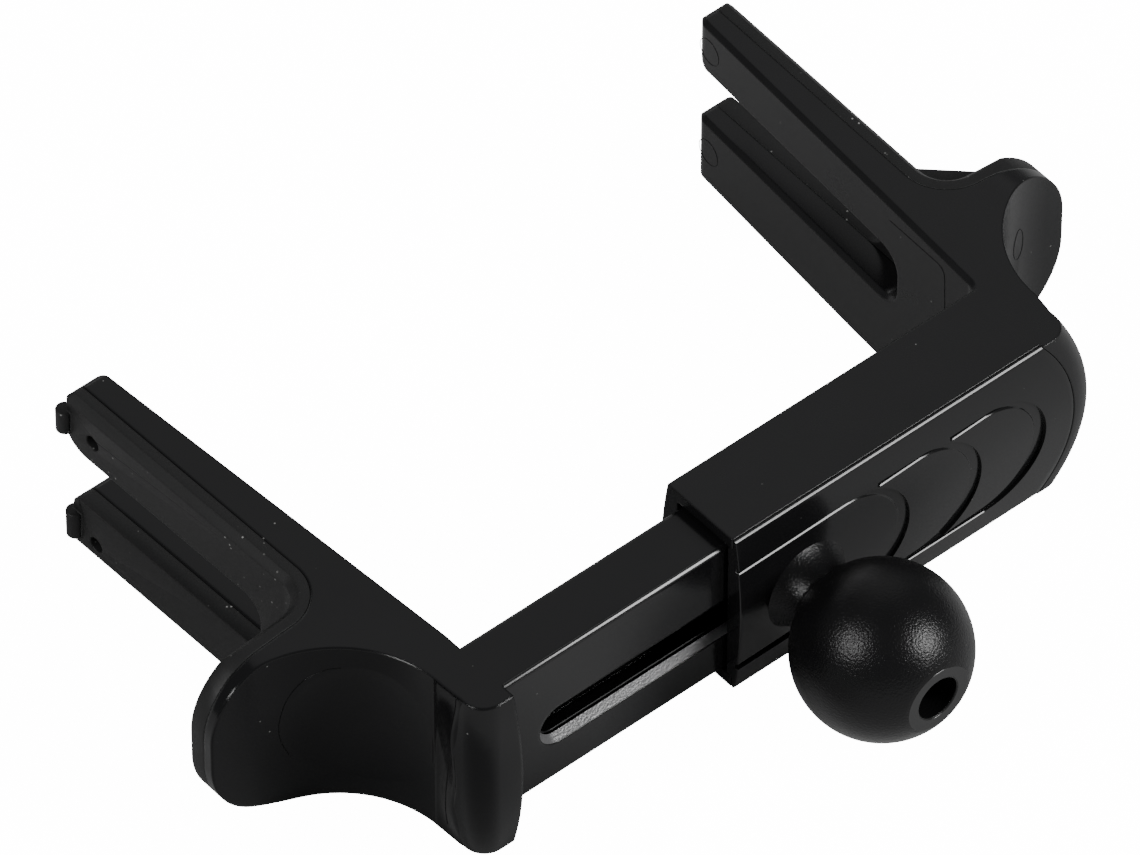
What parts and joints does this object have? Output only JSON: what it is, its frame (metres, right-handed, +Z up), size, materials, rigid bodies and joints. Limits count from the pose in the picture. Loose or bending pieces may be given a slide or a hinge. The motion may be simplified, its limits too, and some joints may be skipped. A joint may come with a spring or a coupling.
{
  "type": "air vent phone holder bracket",
  "caption": "Sliding bracket with two forked, padded arms that spread inside an air vent, and a ball on its front for a phone clamp.",
  "frame": {"origin": "centre of the ball", "axes": "+X along the bar towards the arm of the housing, +Y from the ball back to the fork tips, +Z up"},
  "size_m": [0.1021, 0.0741, 0.0214],
  "materials": {
    "housing_plastic": "satin",
    "cover_plastic": "satin",
    "ball_plastic": "fine matte",
    "screw_steel": "blackened",
    "nut_brass": "machined",
    "slider_plastic": "semi-gloss",
    "grip_rubber": "matte",
    "spring_steel": "drawn wire",
    "rod_steel": "ground"
  },
  "bodies": {
    "sleeve": {"sleeve_arm": "housing_plastic", "front_cover": "cover_plastic", "ball_stud": "ball_plastic", "ball_screw": "screw_steel", "stop_nut": "nut_brass", "right_grip": "grip_rubber", "guide_rod": "rod_steel"},
    "slider": {"slider_arm": "slider_plastic", "left_grip": "grip_rubber", "spring": "spring_steel"}
  },
  "joints": [
    {"name": "bar_slide", "type": "slide", "parent": "sleeve", "child": "slider", "axis": [1, 0, 0], "range_m": [0, 0.024], "stiffness_N_per_m": 150, "springref_m": -0.01, "deforming": ["spring"]}
  ]
}
